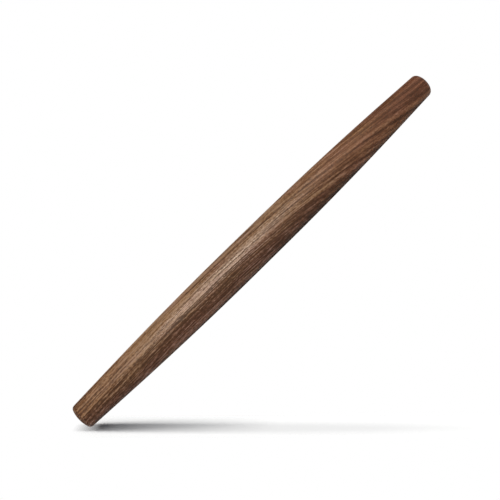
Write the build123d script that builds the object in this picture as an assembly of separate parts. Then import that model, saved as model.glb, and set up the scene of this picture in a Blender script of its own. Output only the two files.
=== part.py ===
from build123d import *

import math
import os

# A French rolling pin: one stick of walnut turned between centres, with no handles and no axle.
# The pin lies along X with its belly on the plane Z = 0, so the origin is the middle of the line it rests on.
# Its outline is the same at both ends. From the middle outwards it runs:
#   - a short straight land, the widest part, which the pin rests and rolls on
#   - a long crown arc, which leaves the land and meets the taper without a corner
#   - a straight taper, the part that the hands hold
#   - a rounded rim, and a shallow dome over the end grain

# Sizes of the finished pin, in millimetres.
LENGTH = 400.0  # end to end, over both domes
BELLY_DIAMETER = 31.0  # across the land
LAND_LENGTH = 34.0  # both halves of the land together
TAPER_LENGTH = 39.0  # one straight taper, along its slope, before its rim is rounded
END_DIAMETER = 21.2  # where taper and dome would meet in a sharp rim
DOME_HEIGHT = 2.3  # how far each end bulges past that rim
RIM_RADIUS = 3.8  # the rounding that takes the sharp rim away

# Worked out from the sizes above.
BELLY_RADIUS = BELLY_DIAMETER / 2
END_RADIUS = END_DIAMETER / 2
LAND_EDGE_X = LAND_LENGTH / 2
DOME_TOP_X = LENGTH / 2
RIM_X = DOME_TOP_X - DOME_HEIGHT


def crown_radius_and_turn():
    """Radius of the crown arc, and the angle in degrees that it turns through before the taper.

    The taper's line, drawn on, crosses the belly's line at a corner. The crown arc rounds that corner and
    touches both lines at the same distance from it, which leaves exactly TAPER_LENGTH of taper straight.
    """
    run = RIM_X - LAND_EDGE_X
    drop = BELLY_RADIUS - END_RADIUS
    land_to_corner = (run**2 + drop**2 - TAPER_LENGTH**2) / (2 * (run + TAPER_LENGTH))
    turn = math.atan2(drop, run - land_to_corner)
    return land_to_corner / math.tan(turn / 2), math.degrees(turn)


def turned_outline():
    """Half section of the pin in the XZ plane, from the turning axis out to the surface, as one face."""
    crown_radius, turn = crown_radius_and_turn()
    rim = (RIM_X, END_RADIUS)
    dome_top = (DOME_TOP_X, 0)
    with BuildSketch(Plane.XZ) as section:
        with BuildLine():
            crown = JernArc((LAND_EDGE_X, BELLY_RADIUS), (1, 0), crown_radius, -turn)
            Line(crown @ 1, rim)
            TangentArc(dome_top, rim, tangent=(0, 1))
            mirror(about=Plane.YZ)
            Line((-LAND_EDGE_X, BELLY_RADIUS), (LAND_EDGE_X, BELLY_RADIUS))
            Line((-DOME_TOP_X, 0), dome_top)
        make_face()
        rims = [corner for corner in section.vertices() if math.isclose(abs(corner.X), RIM_X)]
        fillet(rims, RIM_RADIUS)
    return section.sketch


def rolling_pin():
    """The whole pin, turned from its outline and set down with its belly on the plane Z = 0."""
    turned = revolve(turned_outline(), axis=Axis.X)
    return Pos(Z=BELLY_RADIUS) * turned


os.makedirs("parts", exist_ok=True)
export_step(rolling_pin(), "parts/rolling_pin.step")
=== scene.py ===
"""Looks of a French rolling pin: one stick of walnut, turned to a long crown and oiled to a soft sheen.

The pin lies along X on the plane Z = 0, as in the CAD model. Everything is in metres, and the wood is a solid
pattern in millimetres round the turning axis, so that grain runs on through sides, tapers and end grain.
"""

import logging
import math
from dataclasses import dataclass, field
from enum import Enum

import bpy
from mathutils import Matrix, Vector


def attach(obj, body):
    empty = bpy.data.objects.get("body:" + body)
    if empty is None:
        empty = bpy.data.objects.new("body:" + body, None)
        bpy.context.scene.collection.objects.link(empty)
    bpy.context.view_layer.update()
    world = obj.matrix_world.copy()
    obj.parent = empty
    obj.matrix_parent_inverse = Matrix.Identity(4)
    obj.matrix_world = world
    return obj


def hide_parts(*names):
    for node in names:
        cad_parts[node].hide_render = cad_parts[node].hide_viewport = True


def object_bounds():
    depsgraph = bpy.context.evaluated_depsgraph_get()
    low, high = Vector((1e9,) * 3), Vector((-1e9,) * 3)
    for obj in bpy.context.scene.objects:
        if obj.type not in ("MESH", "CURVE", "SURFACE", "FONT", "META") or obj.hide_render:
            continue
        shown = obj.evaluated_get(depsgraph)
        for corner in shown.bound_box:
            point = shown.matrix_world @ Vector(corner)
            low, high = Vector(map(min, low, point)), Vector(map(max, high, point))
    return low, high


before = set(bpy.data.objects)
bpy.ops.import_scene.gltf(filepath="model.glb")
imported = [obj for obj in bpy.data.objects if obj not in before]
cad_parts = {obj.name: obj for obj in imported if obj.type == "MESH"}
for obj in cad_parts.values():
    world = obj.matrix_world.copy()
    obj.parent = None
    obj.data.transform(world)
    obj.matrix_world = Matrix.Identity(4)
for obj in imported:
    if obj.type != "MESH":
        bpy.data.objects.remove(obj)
cad_low, cad_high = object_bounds()

MM = 0.001
NODE = "rolling_pin"
BODY = "root"
LENGTH = round(cad_high[0] - cad_low[0], 6)
BELLY_DIAMETER = round(cad_high[2] - cad_low[2], 6)
AXIS_HEIGHT = BELLY_DIAMETER / 2
NUMBER = "NodeSocketFloat"

log = logging.getLogger("rolling_pin")

Socket = bpy.types.NodeSocket
Value = float | tuple | Socket
Colour = tuple[float, float, float]


@dataclass(frozen=True)
class Slope:
    """A level that runs from start to end between two places, low and high, and holds beyond them."""

    low: Value
    high: Value
    start: float = 0.0
    end: float = 1.0
    smooth: bool = False


@dataclass(frozen=True)
class Waves:
    """Noise drawn out along the grain.

    Its waves have a length in mm in each of three directions, along the fibres first. Its start is in waves,
    and detail and rough say how many finer layers lie on it and how strong they are.
    """

    lengths: tuple[float, float, float]
    start: float = 0.0
    detail: float = 1.0
    rough: float = 0.55


@dataclass
class Graph:
    """Adds nodes to one node tree and joins them up, for materials, groups and geometry alike."""

    tree: bpy.types.NodeTree

    @classmethod
    def emptied(cls, owner: bpy.types.Material | bpy.types.World) -> "Graph":
        """The graph of a material or world, with nothing in it yet."""
        owner.use_nodes = True
        owner.node_tree.nodes.clear()
        return cls(owner.node_tree)

    def node(self, kind: str, label: str = "", **settings: object) -> bpy.types.Node:
        """Adds one node.

        Args:
            kind: Blender's name for the node type.
            label: words shown on the node.
            settings: properties of the node and their values.

        Returns:
            The new node.
        """
        made = self.tree.nodes.new(kind)
        made.label = label
        for name, value in settings.items():
            setattr(made, name, value)
        return made

    def feed(self, socket: Socket, value: Value) -> None:
        """Gives an input its value: a link from another socket, or a constant.

        Args:
            socket: the input.
            value: the socket to link from, or the constant.
        """
        if isinstance(value, Socket):
            self.tree.links.new(value, socket)
        else:
            socket.default_value = value

    def math(self, operation: str, *values: Value) -> Socket:
        """One Math node.

        Args:
            operation: Blender's name for the operation.
            values: its operands, one to three of them.

        Returns:
            The result's socket.
        """
        made = self.node("ShaderNodeMath", operation=operation)
        for socket, value in zip(made.inputs, values):
            self.feed(socket, value)
        return made.outputs[0]

    def total(self, *values: Value) -> Socket:
        """Sum of two or more values."""
        result = values[0]
        for value in values[1:]:
            result = self.math("ADD", result, value)
        return result

    def product(self, *values: Value) -> Socket:
        """Product of two or more values."""
        result = values[0]
        for value in values[1:]:
            result = self.math("MULTIPLY", result, value)
        return result

    def distance(self, value: Socket, place: float) -> Socket:
        """How far a value is from a place, on either side."""
        return self.math("ABSOLUTE", self.math("SUBTRACT", value, place))

    def slope(self, value: Socket, slope: Slope) -> Socket:
        """Reads off a slope.

        Args:
            value: the place where it is read.
            slope: the slope.

        Returns:
            The level's socket.
        """
        kind = "SMOOTHSTEP" if slope.smooth else "LINEAR"
        made = self.node("ShaderNodeMapRange", interpolation_type=kind, clamp=True)
        inputs = {"Value": value, "From Min": slope.low, "From Max": slope.high,
                  "To Min": slope.start, "To Max": slope.end}
        for name, item in inputs.items():
            self.feed(made.inputs[name], item)
        return made.outputs["Result"]

    def mix(self, share: Value, first: Value, second: Value, blend: str = "MIX") -> Socket:
        """Mixes two colours.

        Args:
            share: how much of the second colour.
            first: first colour.
            second: second colour.
            blend: Blender's name for the way they mix.

        Returns:
            The colour's socket.
        """
        made = self.node("ShaderNodeMix", data_type="RGBA", blend_type=blend)
        for name, value in (("Factor_Float", share), ("A_Color", first), ("B_Color", second)):
            self.feed(next(s for s in made.inputs if s.identifier == name), value)
        return next(s for s in made.outputs if s.identifier == "Result_Color")

    def place(self, x: Value, y: Value, z: Value) -> Socket:
        """Puts three values together as a vector."""
        made = self.node("ShaderNodeCombineXYZ")
        for socket, value in zip(made.inputs, (x, y, z)):
            self.feed(socket, value)
        return made.outputs[0]

    def split(self, vector: Socket) -> list[Socket]:
        """The three values of a vector."""
        made = self.node("ShaderNodeSeparateXYZ")
        self.feed(made.inputs[0], vector)
        return list(made.outputs)

    def drawn_out(self, spots: list[Socket], lengths: tuple[float, float, float],
                  start: float = 0.0) -> Socket:
        """The position that a pattern is read at to be drawn out along the grain.

        Args:
            spots: three places in mm, the one along the fibres first.
            lengths: size of the pattern in each of them, in mm.
            start: where along the pattern the pin's middle lies, in units of its length.

        Returns:
            The position's socket.
        """
        return self.place(*(self.math("MULTIPLY_ADD", spot, 1 / length, begin)
                            for spot, length, begin in zip(spots, lengths, (start, 0.0, 0.0))))

    def waves(self, spots: list[Socket], waves: Waves) -> Socket:
        """Smooth noise from 0 to 1, drawn out along the grain.

        Args:
            spots: three places in mm, the one along the fibres first.
            waves: the noise.

        Returns:
            The noise value's socket.
        """
        made = self.node("ShaderNodeTexNoise", noise_dimensions="3D")
        inputs = {"Vector": self.drawn_out(spots, waves.lengths, waves.start), "Scale": 1.0,
                  "Detail": waves.detail, "Roughness": waves.rough}
        for name, value in inputs.items():
            self.feed(made.inputs[name], value)
        return made.outputs[0]

    def swing(self, value: Socket, by: float) -> Socket:
        """Noise from 0 to 1, turned into a swing about zero."""
        return self.product(self.math("SUBTRACT", value, 0.5), by)

    def ramp(self, value: Socket, *colours: Colour) -> Socket:
        """A colour ramp whose colours stand at even steps.

        Args:
            value: from 0 to 1.
            colours: the colours in order, two or more.

        Returns:
            The colour's socket.
        """
        made = self.node("ShaderNodeValToRGB")
        elements = made.color_ramp.elements
        while len(elements) < len(colours):
            elements.new(0.5)
        for step, (element, colour) in enumerate(zip(elements, colours)):
            element.position = step / (len(colours) - 1)
            element.color = (*colour, 1.0)
        self.feed(made.inputs[0], value)
        return made.outputs[0]


@dataclass
class Group:
    """A node group with named inputs and outputs, built once and placed where it is needed."""

    name: str
    kind: str
    inputs: dict[str, tuple[str, Value | None]]
    outputs: dict[str, str]
    graph: Graph = field(init=False)
    enter: bpy.types.Node = field(init=False)
    leave: bpy.types.Node = field(init=False)

    def __post_init__(self) -> None:
        """Makes the empty group with its sockets."""
        tree = bpy.data.node_groups.new(self.name, self.kind)
        for name, (socket, default) in self.inputs.items():
            made = tree.interface.new_socket(name, in_out="INPUT", socket_type=socket)
            if default is not None:
                made.default_value = default
        for name, socket in self.outputs.items():
            tree.interface.new_socket(name, in_out="OUTPUT", socket_type=socket)
        self.graph = Graph(tree)
        self.enter = self.graph.node("NodeGroupInput")
        self.leave = self.graph.node("NodeGroupOutput")

    def read(self, name: str) -> Socket:
        """The socket that brings an input into the group."""
        return self.enter.outputs[name]

    def give(self, name: str, value: Value) -> None:
        """Sends a value out of the group."""
        self.graph.feed(self.leave.inputs[name], value)

    def use(self, graph: Graph, **values: Value) -> bpy.types.Node:
        """Places the group in another tree.

        Args:
            graph: the tree that it is placed in.
            values: its inputs by name.

        Returns:
            The group's node.
        """
        kind = "ShaderNodeGroup" if self.kind == "ShaderNodeTree" else "GeometryNodeGroup"
        made = graph.node(kind, label=self.name)
        made.node_tree = self.graph.tree
        for name, value in values.items():
            graph.feed(made.inputs[name], value)
        return made


class Cut(Enum):
    """The cuts of a turner's outline, from the pin's middle to its end, each with its share of the rings."""

    LAND = 0.05
    CROWN = 0.45
    TAPER = 0.10
    RIM = 0.25
    DOME = 0.15


@dataclass(frozen=True)
class PinSizes:
    """Sizes of the finished pin, in metres: the same ones that the CAD model is turned from."""

    length: float = LENGTH
    belly_diameter: float = BELLY_DIAMETER
    land_length: float = 0.034
    taper_length: float = 0.039
    end_diameter: float = 0.0212
    dome_height: float = 0.0023
    rim_radius: float = 0.0038

    @property
    def rim_x(self) -> float:
        """Where taper and dome would meet in a sharp rim."""
        return self.length / 2 - self.dome_height

    def crown(self) -> tuple[float, float]:
        """Radius of the crown arc, and the angle that it turns through before the taper."""
        run = self.rim_x - self.land_length / 2
        drop = (self.belly_diameter - self.end_diameter) / 2
        to_corner = (run**2 + drop**2 - self.taper_length**2) / (2 * (run + self.taper_length))
        turn = math.atan2(drop, run - to_corner)
        return to_corner / math.tan(turn / 2), turn

    def dome_radius(self) -> float:
        """Radius of the sphere that the end grain is domed to."""
        return (self.dome_height**2 + (self.end_diameter / 2) ** 2) / (2 * self.dome_height)

    def rim(self) -> tuple[float, float, float]:
        """How much of the taper its rounded rim takes, and the angles where rim meets taper and dome.

        Returns:
            Length taken off the taper, heading at the taper, heading at the dome.
        """
        turn = self.crown()[1]
        rim, dome, end = self.rim_radius, self.dome_radius(), self.end_diameter / 2
        dome_x = self.length / 2 - dome
        slope, normal = Vector((math.cos(turn), -math.sin(turn))), Vector((math.sin(turn), math.cos(turn)))
        foot = Vector((self.rim_x - dome_x, end)) - normal * rim
        along = foot.dot(slope)
        reach = (dome - rim) ** 2 - (foot - slope * along).length_squared
        back = along - math.sqrt(reach)
        centre = foot - slope * back
        return back, turn, math.atan2(centre.x, centre.y)


@dataclass
class TurnedPin:
    """The pin itself: its outline is turned round the X axis by geometry nodes."""

    sizes: PinSizes = PinSizes()
    rings: int = 301
    sides: int = 192
    seam: float = 1e-6

    def cut_group(self) -> Group:
        """One cut of the outline: how far it advances along the axis and how far it drops towards it.

        Returns:
            The group. A cut with no radius is straight, and its length is given instead of its turn.
        """
        names = ("Station", "Start", "End", "Length", "Radius", "Heading", "Turn")
        group = Group("Turned Cut", "GeometryNodeTree", {name: (NUMBER, 0.0) for name in names},
                      {"Advance": NUMBER, "Drop": NUMBER})
        g, read = group.graph, group.read
        done = g.slope(read("Station"), Slope(read("Start"), read("End")))
        heading = read("Heading")
        now = g.math("MULTIPLY_ADD", done, read("Turn"), heading)
        straight = g.product(done, read("Length"))
        rise = g.math("SUBTRACT", g.math("SINE", now), g.math("SINE", heading))
        fall = g.math("SUBTRACT", g.math("COSINE", heading), g.math("COSINE", now))
        group.give("Advance", g.math("MULTIPLY_ADD", rise, read("Radius"),
                                     g.product(straight, g.math("COSINE", heading))))
        group.give("Drop", g.math("MULTIPLY_ADD", fall, read("Radius"),
                                  g.product(straight, g.math("SINE", heading))))
        return group

    def turning_group(self) -> Group:
        """The whole pin, as a tree whose inputs are its sizes.

        Returns:
            The geometry node group, ending in Realize Instances and Set Material.
        """
        names = ("Belly Radius", "Land Half Length", "Crown Radius", "Crown Turn", "Taper Run", "Rim Radius",
                 "Rim Turn", "Dome Radius", "Dome Turn", "Axis Height", "Seam")
        group = Group("Turned Pin", "GeometryNodeTree",
                      {**{name: (NUMBER, 0.0) for name in names}, "Rings": ("NodeSocketInt", 3),
                       "Sides": ("NodeSocketInt", 3), "Finish": ("NodeSocketMaterial", None)},
                      {"Geometry": "NodeSocketGeometry"})
        g, read = group.graph, group.read
        blank = g.node("GeometryNodeMeshGrid", label="blank, one row for each ring")
        g.feed(blank.inputs["Size X"], 2.0)
        g.feed(blank.inputs["Size Y"], 2 * math.pi)
        g.feed(blank.inputs["Vertices X"], read("Rings"))
        g.feed(blank.inputs["Vertices Y"], g.math("ADD", read("Sides"), 1.0))
        along, round_, _ = g.split(g.node("GeometryNodeInputPosition").outputs[0])
        station = g.math("ABSOLUTE", along)

        cut_group = self.cut_group()
        taper_heading = read("Crown Turn")
        rim_heading = g.total(taper_heading, read("Rim Turn"))
        cuts = {Cut.LAND: {"Length": read("Land Half Length")},
                Cut.CROWN: {"Radius": read("Crown Radius"), "Turn": read("Crown Turn")},
                Cut.TAPER: {"Length": read("Taper Run"), "Heading": taper_heading},
                Cut.RIM: {"Radius": read("Rim Radius"), "Heading": taper_heading, "Turn": read("Rim Turn")},
                Cut.DOME: {"Radius": read("Dome Radius"), "Heading": rim_heading, "Turn": read("Dome Turn")}}
        start, advances, drops = 0.0, [], []
        for cut, values in cuts.items():
            placed = cut_group.use(g, Station=station, Start=start, End=start + cut.value, **values)
            start += cut.value
            advances.append(placed.outputs["Advance"])
            drops.append(placed.outputs["Drop"])
        x = g.product(g.total(*advances), g.math("SIGN", along))
        radius = g.math("MAXIMUM", g.math("SUBTRACT", read("Belly Radius"), g.total(*drops)), 0.0)
        spot = g.place(x, g.product(radius, g.math("SINE", round_)),
                       g.math("MULTIPLY_ADD", radius, g.math("COSINE", round_), read("Axis Height")))
        turned = g.node("GeometryNodeSetPosition", label="wrapped round the axis")
        g.feed(turned.inputs["Geometry"], blank.outputs["Mesh"])
        g.feed(turned.inputs["Position"], spot)
        closed = g.node("GeometryNodeMergeByDistance", label="seam and both poles closed")
        g.feed(closed.inputs["Geometry"], turned.outputs[0])
        g.feed(closed.inputs["Distance"], read("Seam"))
        outward = g.node("GeometryNodeFlipFaces", label="faces outwards")
        g.feed(outward.inputs[0], closed.outputs[0])
        smooth = g.node("GeometryNodeSetShadeSmooth")
        g.feed(smooth.inputs[0], outward.outputs[0])
        real = g.node("GeometryNodeRealizeInstances")
        g.feed(real.inputs[0], smooth.outputs[0])
        dressed = g.node("GeometryNodeSetMaterial")
        g.feed(dressed.inputs["Geometry"], real.outputs[0])
        g.feed(dressed.inputs["Material"], read("Finish"))
        group.give("Geometry", dressed.outputs[0])
        return group

    def build(self, finish: bpy.types.Material) -> bpy.types.Object:
        """Turns the pin and makes it a plain mesh.

        Args:
            finish: the material that it is dressed in.

        Returns:
            The pin's object, at the origin, with its place in its mesh.
        """
        sizes = self.sizes
        crown_radius, crown_turn = sizes.crown()
        rim_cut, rim_start, rim_end = sizes.rim()
        values = {"Belly Radius": sizes.belly_diameter / 2, "Land Half Length": sizes.land_length / 2,
                  "Crown Radius": crown_radius, "Crown Turn": crown_turn,
                  "Taper Run": sizes.taper_length - rim_cut,
                  "Rim Radius": sizes.rim_radius, "Rim Turn": rim_end - rim_start,
                  "Dome Radius": sizes.dome_radius(), "Dome Turn": math.pi / 2 - rim_end,
                  "Axis Height": sizes.belly_diameter / 2, "Seam": self.seam,
                  "Rings": self.rings, "Sides": self.sides, "Finish": finish}
        tree = self.turning_group().graph.tree
        blank = bpy.data.objects.new("turning_blank", bpy.data.meshes.new("turning_blank"))
        bpy.context.scene.collection.objects.link(blank)
        lathe = blank.modifiers.new("turned", "NODES")
        lathe.node_group = tree
        for item in tree.interface.items_tree:
            if item.item_type == "SOCKET" and item.in_out == "INPUT":
                lathe[item.identifier] = values[item.name]
        turned = blank.evaluated_get(bpy.context.evaluated_depsgraph_get())
        mesh = bpy.data.meshes.new_from_object(turned)
        bpy.data.objects.remove(blank)
        mesh.name = "walnut_pin"
        if not mesh.materials:
            mesh.materials.append(finish)
        pin = bpy.data.objects.new("walnut_pin", mesh)
        bpy.context.scene.collection.objects.link(pin)
        return pin


@dataclass(frozen=True)
class YearLine:
    """The dark line that ends a year's wood: place across the stick and half width, in mm, and darkness."""

    place: float
    width: float
    shade: float


@dataclass(frozen=True)
class WalnutFinish:
    """Turned, sanded and oiled walnut. Lengths are in mm, and a tone runs from 0, dark, to 1, pale."""

    name: str = "oiled_walnut"
    shades: tuple[Colour, ...] = (
        (0.056, 0.024, 0.012), (0.090, 0.040, 0.022), (0.145, 0.069, 0.038), (0.215, 0.112, 0.063),
        (0.300, 0.172, 0.106))

    # how the stick was cut from its trunk, which bows along its length
    axis_height: float = AXIS_HEIGHT / MM
    cut_angle: float = math.radians(1.8)
    pith_distance: float = 304.0
    bow_middle: float = -76.4
    bow_curvature: float = 7.0e-4
    bow_growth: float = 1.39e-3
    bow_easing: float = -9.3e-6
    fan: float = 0.0297
    slow_drift: Waves = Waves((60.0, 24.0, 20.0), start=34.03, rough=0.5)
    slow_by: float = 0.4
    quick_drift: Waves = Waves((22.0, 9.0, 8.0), start=62.47, rough=0.5)
    quick_by: float = 0.35
    shift_along: Slope = Slope(-100.0, -60.0, 0.0, 0.2)

    # year lines, and the paler wood between them
    years: tuple[YearLine, ...] = (
        YearLine(-16.0, 3.0, 0.4), YearLine(-8.4, 3.5, 0.6), YearLine(-5.0, 2.0, 0.4),
        YearLine(-2.6, 1.0, 0.7), YearLine(0.0, 1.2, 0.7), YearLine(2.0, 1.3, 0.6), YearLine(5.5, 0.9, 0.9),
        YearLine(7.8, 0.9, 0.8), YearLine(9.9, 0.8, 0.6), YearLine(12.0, 0.9, 1.0), YearLine(15.3, 1.5, 0.6),
        YearLine(17.7, 0.9, 0.6), YearLine(19.8, 0.8, 0.6), YearLine(22.0, 1.5, 0.6))
    early_wood: float = 0.5
    year_tone: Slope = Slope(60.0, 180.0, -1.0, -0.85)

    # grain, each kind drawn out along the fibres
    band: Waves = Waves((110.0, 3.4, 9.0), start=30.7)
    streak: Waves = Waves((90.0, 0.85, 2.0), start=26.55)
    fibre: Waves = Waves((48.0, 0.6, 0.9), start=85.5)
    ripple: Waves = Waves((2.2, 0.9, 1.0))
    hue: Waves = Waves((34.0, 6.0, 8.0))
    vein: Waves = Waves((60.0, 2.3, 4.5), start=72.75, detail=2.0)
    vein_edge: Slope = Slope(0.0, 0.035, 1.0, 0.0, smooth=True)
    pore: tuple[float, float, float] = (6.5, 1.2, 1.2)
    pore_edge: Slope = Slope(0.15, 0.42, 1.0, 0.0, smooth=True)
    pores_closed: float = 0.35

    # tone under the grain: towards the sapwood, at the darker end and in one patch, with painted light above
    # and below
    sapwood: Slope = Slope(-2.0, 9.0, 0.405, 0.63)
    # painted light: paler on the top side, where the light falls, most of all near the foot
    painted_top_light: Slope = Slope(0.0, 12.0, 0.0, 0.12)
    painted_top_light_at_foot: Slope = Slope(-190.0, -141.0, 0.8, 2.6)
    painted_top_light_along: Slope = Slope(-141.0, 10.0, 1.0, 0.45)
    # painted light and shade: paler along the bottom rim, as if lit from below, and darker there towards the
    # darker end
    lower: Slope = Slope(-13.0, -9.0, 0.10, 0.0)
    painted_rim_light_and_shade_along: Slope = Slope(40.0, 190.0, 1.0, -1.5)
    dark_end: Slope = Slope(0.0, 190.0, 0.0, -0.32, smooth=True)
    dark_end_across: Slope = Slope(9.0, 16.0, 0.35, 1.0)
    patch_place: float = -143.0
    patch: Slope = Slope(0.0, 38.0, 0.045, 0.0, smooth=True)

    # how strongly the grain shows in the tone, and how it calms down towards the darker end
    band_tone: float = 0.1
    streak_tone: float = 1.4
    fibre_tone: float = 2.0
    ripple_tone: float = 1.5
    calm: Slope = Slope(-10.0, 120.0, 1.2, 0.5, smooth=True)
    vein_shade: float = 0.25
    pore_shade: float = 0.55

    # tints: dark and pale fibres, rose and amber sides, red ends and a grey middle
    deep: Colour = (1.01, 0.94, 0.73)
    dusty: Colour = (1.01, 1.06, 1.16)
    depth: Slope = Slope(-0.45, 0.45)
    depth_of_lines: float = 0.5
    rose: Colour = (1.04, 0.985, 1.06)
    amber: Colour = (1.0, 1.0, 0.87)
    drift: Slope = Slope(0.3, 0.7)
    lean: Slope = Slope(-10.0, 1.0, 0.16, -0.16)
    lean_along: Slope = Slope(50.0, 190.0, 1.0, -1.2)
    lean_at_foot: Slope = Slope(-190.0, -120.0, 0.9, 0.0)
    heart: Colour = (1.0, 0.855, 0.75)
    heart_along: Slope = Slope(30.0, 190.0)
    heart_at_foot: Slope = Slope(-200.0, -120.0, 0.6, 0.0)
    heart_above: Slope = Slope(-6.0, 0.0)
    ash: Colour = (0.99, 1.02, 1.09)
    ash_place: float = -20.0
    ash_spread: Slope = Slope(0.0, 80.0, 1.0, 0.0, smooth=True)

    # end grain, by how far the surface faces along the pin
    end_facing: Slope = Slope(0.45, 0.95, smooth=True)
    end_shade: float = 0.35
    end_rough: float = 0.45

    # relief, its depth in metres
    relief: float = 0.7
    relief_depth: float = 0.0001
    pore_relief: float = -0.8
    streak_relief: float = 1.5
    fibre_relief: float = 1.0
    ripple_relief: float = 1.6
    dark_relief: float = -0.3

    # oil: raised fibres at a grazing angle scatter what would mirror the room along the pin
    oil_level: float = 0.2
    oil_tint: Colour = (1.0, 0.86, 0.72)
    rough: float = 0.23
    dark_rough: float = 0.30
    streak_rough: float = -0.5
    ripple_rough: float = -0.45
    grazing_rough: Slope = Slope(0.55, 0.88, 0.0, 0.55, smooth=True)

    def stick_group(self) -> Group:
        """Where a point lies in the stick that the pin was turned from.

        Returns:
            Group with Along, Across, Round and Rise: along the fibres, across the growth layers, along a
            layer, and up from the turning axis.
        """
        group = Group("Stick Place", "ShaderNodeTree", {"Position": ("NodeSocketVector", (0.0, 0.0, 0.0))},
                      {"Along": NUMBER, "Across": NUMBER, "Round": NUMBER, "Rise": NUMBER})
        g = group.graph
        x, y, z = (g.product(part, 1 / MM) for part in g.split(group.read("Position")))
        z = g.math("SUBTRACT", z, self.axis_height)
        cosine, sine = math.cos(self.cut_angle), math.sin(self.cut_angle)
        rise = g.math("MULTIPLY_ADD", z, cosine, g.product(y, -sine))
        round_ = g.math("MULTIPLY_ADD", y, cosine, g.product(z, sine))
        # growth layers are shells round a distant pith
        deep = g.total(rise, self.pith_distance)
        radius = g.math("SQRT", g.math("MULTIPLY_ADD", deep, deep, g.product(round_, round_)))
        shell = g.math("SUBTRACT", radius, self.pith_distance)
        # the trunk's bow carries them along, more so low in the stick than high in it
        run = g.math("SUBTRACT", x, self.bow_middle)
        square = g.product(run, run)
        bend = g.total(1.0, g.product(run, self.bow_growth), g.product(square, self.bow_easing))
        opening = g.math("SUBTRACT", 1.0, g.product(rise, self.fan))
        bow = g.product(square, self.bow_curvature / 2, bend, opening)
        slow = g.waves([x, round_, rise], self.slow_drift)
        quick = g.waves([x, round_, rise], self.quick_drift)
        group.give("Along", x)
        group.give("Across", g.total(shell, bow, g.swing(slow, self.slow_by), g.swing(quick, self.quick_by),
                                     g.slope(x, self.shift_along)))
        group.give("Round", round_)
        group.give("Rise", rise)
        return group

    def growth_group(self) -> Group:
        """The year lines across the stick.

        Returns:
            Group that turns Across into Shade: above 0 in a dark line, below 0 in the pale wood beside one.
        """
        group = Group("Growth Lines", "ShaderNodeTree", {"Across": (NUMBER, 0.0)}, {"Shade": NUMBER})
        g = group.graph
        lines = []
        for year in self.years:
            off = g.math("DIVIDE", g.math("SUBTRACT", group.read("Across"), year.place), year.width)
            bell = g.math("POWER", math.e, g.product(off, off, -1.0))
            lines.append(g.product(bell, year.shade))
        group.give("Shade", g.total(-self.early_wood, *lines))
        return group

    def fibre_group(self) -> Group:
        """Bands, streaks, fibres, ripples, drifts of hue, veins and pores, all drawn out along the grain.

        Returns:
            Group that turns Along, Across and Round into one mask or value for each.
        """
        places = ("Along", "Across", "Round")
        kinds = {"Band": self.band, "Streak": self.streak, "Fibre": self.fibre, "Ripple": self.ripple,
                 "Hue": self.hue}
        group = Group("Fibres", "ShaderNodeTree", {name: (NUMBER, 0.0) for name in places},
                      {name: NUMBER for name in (*kinds, "Vein", "Pore")})
        g = group.graph
        spots = [group.read(name) for name in places]
        for name, waves in kinds.items():
            group.give(name, g.waves(spots, waves))
        group.give("Vein", g.slope(g.distance(g.waves(spots, self.vein), 0.5), self.vein_edge))
        cell = g.node("ShaderNodeTexVoronoi", feature="F1", voronoi_dimensions="3D")
        g.feed(cell.inputs["Vector"], g.drawn_out(spots, self.pore))
        g.feed(cell.inputs["Scale"], 1.0)
        chance = g.split(cell.outputs["Color"])[0]
        group.give("Pore", g.product(g.slope(cell.outputs["Distance"], self.pore_edge),
                                     g.math("GREATER_THAN", chance, self.pores_closed)))
        return group

    def ground(self, g: Graph, along: Socket, across: Socket, rise: Socket) -> Socket:
        """Tone of the wood under its grain, with painted light on the top side and painted light and shade on
        the bottom rim.

        Args:
            g: the material's graph.
            along: place along the fibres.
            across: place across the growth layers.
            rise: place up from the turning axis.

        Returns:
            The tone's socket.
        """
        # painted light on the top side, and painted bounce light on the bottom rim that turns to painted
        # shade towards the darker end
        painted_top_light = g.product(g.slope(rise, self.painted_top_light), g.slope(along, self.painted_top_light_at_foot),
                          g.slope(along, self.painted_top_light_along))
        lower = g.product(g.slope(rise, self.lower), g.slope(along, self.painted_rim_light_and_shade_along))
        dark_end = g.product(g.slope(along, self.dark_end), g.slope(across, self.dark_end_across))
        patch = g.slope(g.distance(along, self.patch_place), self.patch)
        return g.total(g.slope(across, self.sapwood), painted_top_light, lower, dark_end, patch)

    def tinted(self, g: Graph, colour: Socket, depth: Socket, hue: Socket, along: Socket,
               rise: Socket) -> Socket:
        """Tints the wood.

        Args:
            g: the material's graph.
            colour: its colour before that.
            depth: how much paler than the wood round it a fibre is.
            hue: noise that drifts between amber and rose.
            along: place along the fibres.
            rise: place up from the turning axis.

        Returns:
            The colour's socket.
        """
        # dark fibres are deeper in colour than the pale ones between them
        fibres = g.ramp(g.slope(depth, self.depth), self.deep, self.dusty)
        # one side of the stick leans to rose and the other to amber, which turns round at the darker end
        lean = g.product(g.slope(rise, self.lean),
                         g.total(g.slope(along, self.lean_along), g.slope(along, self.lean_at_foot)))
        side = g.ramp(g.slope(g.total(hue, lean), self.drift), self.amber, self.rose)
        # the heartwood is redder towards both ends, most of all at the darker one, and greyer near the middle
        redder = g.total(g.slope(along, self.heart_along),
                         g.product(g.slope(along, self.heart_at_foot), g.slope(rise, self.heart_above)))
        greyer = g.slope(g.distance(along, self.ash_place), self.ash_spread)
        tints = ((1.0, fibres), (1.0, side), (redder, (*self.heart, 1.0)), (greyer, (*self.ash, 1.0)))
        for share, tint in tints:
            colour = g.mix(share, colour, tint, "MULTIPLY")
        return colour

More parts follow.
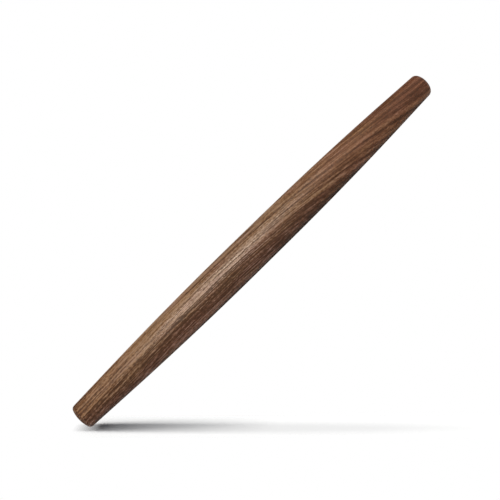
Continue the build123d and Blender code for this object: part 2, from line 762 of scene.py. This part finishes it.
    def build(self) -> bpy.types.Material:
        """Makes the material.

        Returns:
            The walnut material.
        """
        material = bpy.data.materials.new(self.name)
        g = Graph.emptied(material)
        coordinates = g.node("ShaderNodeTexCoord")
        stick = self.stick_group().use(g, Position=coordinates.outputs["Object"])
        along, across, round_, rise = stick.outputs
        shade = self.growth_group().use(g, Across=across).outputs["Shade"]
        fibres = self.fibre_group().use(g, Along=along, Across=across, Round=round_)
        band, streak, fibre, ripple, hue, vein, pore = fibres.outputs

        grain = g.total(g.swing(streak, self.streak_tone), g.swing(fibre, self.fibre_tone),
                        g.swing(ripple, self.ripple_tone))
        fine = g.product(grain, g.slope(along, self.calm))
        lines = g.product(shade, g.slope(along, self.year_tone))
        tone = g.total(self.ground(g, along, across, rise), lines, g.swing(band, self.band_tone), fine)
        depth = g.total(fine, g.product(lines, self.depth_of_lines))
        colour = self.tinted(g, g.ramp(tone, *self.shades), depth, hue, along, rise)
        open_grain = g.total(g.product(vein, self.vein_shade), g.product(pore, self.pore_shade))
        colour = g.mix(open_grain, colour, (*self.shades[0], 1.0))
        facing_end = g.math("ABSOLUTE", g.split(coordinates.outputs["Normal"])[0])
        end_grain = g.slope(facing_end, self.end_facing)
        colour = g.mix(g.product(end_grain, self.end_shade), colour, (*self.shades[1], 1.0))

        dark = g.total(open_grain, g.math("MAXIMUM", shade, 0.0))
        bump = g.node("ShaderNodeBump")
        bump.inputs["Strength"].default_value = self.relief
        bump.inputs["Distance"].default_value = self.relief_depth
        g.feed(bump.inputs["Height"], g.total(g.product(pore, self.pore_relief),
                                              g.swing(streak, self.streak_relief),
                                              g.swing(fibre, self.fibre_relief),
                                              g.swing(ripple, self.ripple_relief),
                                              g.product(dark, self.dark_relief)))
        grazing = g.slope(g.node("ShaderNodeLayerWeight").outputs["Facing"], self.grazing_rough)
        shader = g.node("ShaderNodeBsdfPrincipled")
        shader.inputs["Specular IOR Level"].default_value = self.oil_level
        shader.inputs["Specular Tint"].default_value = (*self.oil_tint, 1.0)
        g.feed(shader.inputs["Base Color"], colour)
        g.feed(shader.inputs["Roughness"], g.total(self.rough, g.product(dark, self.dark_rough),
                                                   g.swing(streak, self.streak_rough),
                                                   g.swing(ripple, self.ripple_rough),
                                                   g.product(end_grain, self.end_rough), grazing))
        g.feed(shader.inputs["Normal"], bump.outputs[0])
        g.feed(g.node("ShaderNodeOutputMaterial").inputs["Surface"], shader.outputs[0])
        return material


@dataclass(frozen=True)
class Viewpoint:
    """The photograph's camera: its place round the pin, its lens and its tilt."""

    distance: float = 0.880
    azimuth: float = math.radians(13.974)
    below: float = math.radians(4.0)
    roll: float = math.radians(44.356)
    aim: tuple[float, float, float] = (-0.010597, 0.0, 0.001682)
    lens: float = 78.448
    nearest: float = 0.01
    farthest: float = 20.0

    def basis(self) -> tuple[Vector, Matrix]:
        """The camera's place, and its right, up and backward directions as a matrix's columns."""
        place = Vector((-math.sin(self.azimuth), -math.cos(self.azimuth), 0.0)) * self.distance
        back = (place - Vector(self.aim)).normalized()
        right = Vector((0.0, 0.0, 1.0)).cross(back).normalized()
        up = back.cross(right)
        cosine, sine = math.cos(self.roll), math.sin(self.roll)
        axes = Matrix((right * cosine - up * sine, right * sine + up * cosine, back)).transposed()
        swing = Matrix.Rotation(self.below, 3, "X")
        return swing @ place + Vector((0.0, 0.0, AXIS_HEIGHT)), swing @ axes

    def toward(self, angle: float) -> Vector:
        """The direction square to the pin, at an angle in degrees from the camera's side over the top."""
        turn = math.radians(angle) - self.below
        return Vector((0.0, -math.cos(turn), math.sin(turn)))

    def build(self) -> None:
        """Makes the camera and gives it to the scene."""
        data = bpy.data.cameras.new("photo_camera")
        data.lens = self.lens
        data.clip_start, data.clip_end = self.nearest, self.farthest
        camera = bpy.data.objects.new("photo_camera", data)
        place, axes = self.basis()
        camera.matrix_world = Matrix.Translation(place) @ axes.to_4x4()
        bpy.context.scene.collection.objects.link(camera)
        bpy.context.scene.camera = camera


@dataclass(frozen=True)
class Lamp:
    """A soft box: where it stands from its aim, how wide it is both ways, and its level at its aim."""

    name: str
    direction: tuple[float, float, float]
    distance: float
    width: float
    height: float
    level: float
    tint: Colour = (1.0, 1.0, 1.0)
    aim: tuple[float, float, float] = (0.0, 0.0, AXIS_HEIGHT)
    across: tuple[float, float, float] = (1.0, 0.0, 0.0)
    fills: bool = True
    shines: bool = True
    for_ledge: bool = False

    def build(self, ledge: bpy.types.Object) -> None:
        """Makes the lamp. A white surface square to it would render at its level.

        Args:
            ledge: the ledge, which takes light from its own lamps alone.
        """
        data = bpy.data.lights.new(self.name, "AREA")
        data.shape = "RECTANGLE"
        data.size, data.size_y = self.width, self.height
        data.energy = self.level * (math.pi * self.distance) ** 2
        data.color = self.tint
        lamp = bpy.data.objects.new(self.name, data)
        direction = Vector(self.direction).normalized()
        across = Vector(self.across)
        across = (across - direction * across.dot(direction)).normalized()
        turned = Matrix((across, direction.cross(across), direction)).transposed().to_4x4()
        lamp.matrix_world = Matrix.Translation(Vector(self.aim) + direction * self.distance) @ turned
        lamp.visible_diffuse, lamp.visible_glossy = self.fills, self.shines
        bpy.context.scene.collection.objects.link(lamp)
        lit = bpy.data.collections.new(self.name + "_light")
        lit.objects.link(ledge)
        lit.collection_objects[0].light_linking.link_state = "INCLUDE" if self.for_ledge else "EXCLUDE"
        lamp.light_linking.receiver_collection = lit


class Paper:
    """White paper with one good side, which keeps shadows."""

    def __init__(self, name: str, seen_level: float, lit_level: float) -> None:
        """Makes the paper, not yet cut to its shape.

        Args:
            name: the material's name.
            seen_level: how white it is to the camera.
            lit_level: how white it is to all other light.
        """
        self.material = bpy.data.materials.new(name)
        self.graph = g = Graph.emptied(self.material)
        self.seen = g.node("ShaderNodeLightPath").outputs["Is Camera Ray"]
        self.behind = g.node("ShaderNodeNewGeometry").outputs["Backfacing"]
        self.place = g.node("ShaderNodeTexCoord").outputs["Object"]
        white, clear = g.node("ShaderNodeBsdfDiffuse"), g.node("ShaderNodeBsdfTransparent")
        lit_white, seen_white = ((*[level] * 3, 1.0) for level in (lit_level, seen_level))
        g.feed(white.inputs["Color"], g.mix(self.seen, lit_white, seen_white))
        self.cover = g.node("ShaderNodeMixShader")
        g.feed(self.cover.inputs[1], white.outputs[0])
        g.feed(self.cover.inputs[2], clear.outputs[0])
        g.feed(g.node("ShaderNodeOutputMaterial").inputs["Surface"], self.cover.outputs[0])

    def cut(self, gone: Socket) -> bpy.types.Material:
        """Cuts the paper to its shape: a mask says where it is gone."""
        self.graph.feed(self.cover.inputs[0], gone)
        return self.material


@dataclass(frozen=True)
class Studio:
    """A white studio: soft boxes, a dark ceiling, a table, and a ledge that takes the pin's tilted shadow."""

    view: Viewpoint
    ambient: float = 0.51
    ambient_tint: Colour = (0.985, 1.01, 1.09)

    table_reach: float = 1.3
    table_seen: float = 0.88
    table_lit: float = 0.92
    table_kept_from_sheen: float = 0.2
    table_fade: Slope = Slope(0.85, 1.15, smooth=True)

    ledge_level: float = 0.29
    ledge_tilt: float = 3.0
    ledge_size: tuple[float, float, float, float] = (-0.03, 0.39, -0.07, 0.07)
    ledge_start: Slope = Slope(-0.012, 0.009)
    ledge_end: Slope = Slope(0.35, 0.38, 1.0, 0.0, smooth=True)
    ledge_side: Slope = Slope(0.026, 0.044, 1.0, 0.0, smooth=True)
    ledge_narrowing: float = 1.3
    ledge_lamp_slant: float = 35.0
    ledge_lamp_lean: float = 0.030
    ledge_lamp_tint: Colour = (1.0, 0.995, 0.98)

    ceiling_level: float = 0.15
    ceiling_angle: float = 123.0
    ceiling_distance: float = 1.0
    ceiling_shift: float = 0.1
    ceiling_size: tuple[float, float, float, float] = (-1.2, 1.2, -0.75, 0.75)

    def world(self) -> None:
        """White to the camera, and an even soft light for everything else."""
        world = bpy.data.worlds.new("studio")
        bpy.context.scene.world = world
        g = Graph.emptied(world)
        path = g.node("ShaderNodeLightPath").outputs
        seen = g.math("MAXIMUM", path["Is Camera Ray"],
                      g.math("MAXIMUM", path["Is Glossy Ray"], path["Is Transmission Ray"]))
        soft, white = g.node("ShaderNodeBackground"), g.node("ShaderNodeBackground")
        soft.inputs["Color"].default_value = (*self.ambient_tint, 1.0)
        soft.inputs["Strength"].default_value = self.ambient
        white.inputs["Color"].default_value = (1.0, 1.0, 1.0, 1.0)
        mix = g.node("ShaderNodeMixShader")
        for socket, value in zip(mix.inputs, (seen, soft.outputs[0], white.outputs[0])):
            g.feed(socket, value)
        g.feed(g.node("ShaderNodeOutputWorld").inputs["Surface"], mix.outputs[0])

    def table_paper(self) -> bpy.types.Material:
        """Paper of the table, which fades out well away from the pin and lets some white into the sheen."""
        paper = Paper("table_paper", self.table_seen, self.table_lit)
        g = paper.graph
        glossy = g.node("ShaderNodeLightPath").outputs["Is Glossy Ray"]
        unseen = g.math("MAXIMUM", paper.behind, g.product(glossy, self.table_kept_from_sheen))
        away = g.node("ShaderNodeVectorMath", operation="LENGTH")
        g.feed(away.inputs[0], paper.place)
        return paper.cut(g.math("MAXIMUM", unseen, g.slope(away.outputs["Value"], self.table_fade)))

    def ledge_paper(self) -> bpy.types.Material:
        """Paper of the ledge: there for the camera alone, and only where the pin's shadow falls."""
        paper = Paper("ledge_paper", self.ledge_level, self.ledge_level)
        g = paper.graph
        x, y, _ = g.split(paper.place)
        # narrower where it runs out past the foot
        past_foot = g.math("MAXIMUM", g.product(x, -1.0), 0.0)
        off = g.math("MULTIPLY_ADD", past_foot, self.ledge_narrowing, g.math("ABSOLUTE", y))
        kept = g.product(g.slope(x, self.ledge_start), g.slope(x, self.ledge_end),
                         g.slope(off, self.ledge_side), g.math("SUBTRACT", paper.seen, paper.behind))
        return paper.cut(g.math("SUBTRACT", 1.0, g.math("MAXIMUM", kept, 0.0)))

    def sheet(self, name: str, place: Vector, across: Vector, up: Vector,
              size: tuple[float, float, float, float], finish: bpy.types.Material) -> bpy.types.Object:
        """A flat rectangle of the stage.

        Args:
            name: the object's name.
            place: the point that its size is measured from.
            across: direction of its width.
            up: direction that its good side faces.
            size: least and greatest width, then least and greatest depth, from that point.
            finish: its material.

        Returns:
            The rectangle's object.
        """
        mesh = bpy.data.meshes.new(name)
        left, right, near, far = size
        corners = [(left, near, 0), (right, near, 0), (right, far, 0), (left, far, 0)]
        mesh.from_pydata(corners, [], [(0, 1, 2, 3)])
        mesh.materials.append(finish)
        sheet = bpy.data.objects.new(name, mesh)
        turned = Matrix((across, up.cross(across), up)).transposed().to_4x4()
        sheet.matrix_world = Matrix.Translation(place) @ turned
        bpy.context.scene.collection.objects.link(sheet)
        return sheet

    def table(self) -> None:
        """The table that the pin lies on."""
        reach = self.table_reach
        self.sheet("table", Vector((0.0, 0.0, 0.0)), Vector((1.0, 0.0, 0.0)), Vector((0.0, 0.0, 1.0)),
                   (-reach, reach, -reach, reach), self.table_paper())

    def ceiling(self) -> None:
        """The studio's dark ceiling, which slopes down behind the pin and shows in the wood's sheen alone."""
        material = bpy.data.materials.new("ceiling_paint")
        g = Graph.emptied(material)
        paint = g.node("ShaderNodeBsdfDiffuse")
        paint.inputs["Color"].default_value = (*[self.ceiling_level] * 3, 1.0)
        g.feed(g.node("ShaderNodeOutputMaterial").inputs["Surface"], paint.outputs[0])
        toward = self.view.toward(self.ceiling_angle)
        place = Vector((self.ceiling_shift, 0.0, AXIS_HEIGHT)) + toward * self.ceiling_distance
        ceiling = self.sheet("ceiling", place, Vector((1.0, 0.0, 0.0)), -toward, self.ceiling_size, material)
        ceiling.visible_camera = ceiling.visible_diffuse = False
        ceiling.visible_transmission = ceiling.visible_shadow = False

    def ledge(self, pin: bpy.types.Object) -> tuple[bpy.types.Object, list[Lamp]]:
        """The ledge under the pin's lower end in the photograph, with lamps of its own.

        Args:
            pin: the pin, whose lowest point in the photograph stands on it.

        Returns:
            The ledge, and its lamps, not built yet.
        """
        right, up, back = self.view.basis()[1].col
        tilt, slant = math.radians(self.ledge_tilt), math.radians(self.ledge_lamp_slant)
        ledge_up = (up * math.cos(tilt) + back * math.sin(tilt)).normalized()
        foot = min((point.co for point in pin.data.vertices), key=lambda co: co.dot(ledge_up))
        ledge = self.sheet("ledge", Vector(foot), right, ledge_up, self.ledge_size, self.ledge_paper())
        # the lamps stand in the plane of the pin and the ledge's width, so that the shadow lies level
        along = Vector((1.0, 0.0, 0.0))
        rise = (along - right * along.dot(right)).normalized()
        slanting = right * math.sin(slant) + rise * math.cos(slant) + back * self.ledge_lamp_lean
        shared = {"distance": 4.0, "width": 0.40, "tint": self.ledge_lamp_tint, "aim": tuple(foot),
                  "across": tuple(right.cross(rise)), "for_ledge": True}
        return ledge, [Lamp("ledge_lamp", tuple(slanting), height=1.20, level=3.1, **shared),
                       Lamp("ledge_glow", tuple(rise), height=2.00, level=0.64, **shared)]

    def lamps(self) -> list[Lamp]:
        """The lamps that light the wood, or show in its sheen."""
        return [Lamp("key", tuple(self.view.toward(42.0)), distance=0.95, width=0.60, height=0.80, level=0.46,
                     tint=(1.0, 0.97, 0.87), aim=(0.03, 0.0, AXIS_HEIGHT), shines=False),
                Lamp("sheen", tuple(self.view.toward(36.0)), distance=0.95, width=0.31, height=0.83,
                     level=1.16, aim=(0.12, 0.0, AXIS_HEIGHT), fills=False),
                Lamp("overhead", (0.0, 0.0, 1.0), distance=1.2, width=0.9, height=0.9, level=0.25,
                     shines=False)]

    def build(self, pin: bpy.types.Object) -> None:
        """Makes the world, the table, the ceiling, the ledge and the lamps.

        Args:
            pin: the pin, whose end stands on the ledge.
        """
        self.world()
        self.table()
        self.ceiling()
        ledge, ledge_lamps = self.ledge(pin)
        for lamp in (*self.lamps(), *ledge_lamps):
            lamp.build(ledge)


def main() -> None:
    """Builds the pin and its studio."""
    logging.basicConfig(level=logging.INFO, format="%(name)s: %(message)s")
    bpy.context.scene.view_settings.view_transform = "Standard"
    pin = TurnedPin().build(WalnutFinish().build())
    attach(pin, BODY)
    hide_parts(NODE)
    log.info("turned %s: %d points, %d faces", pin.name, len(pin.data.vertices), len(pin.data.polygons))
    view = Viewpoint()
    view.build()
    Studio(view).build(pin)
    log.info("set the camera, the lamps and the white stage")


if __name__ == "__main__":
    main()
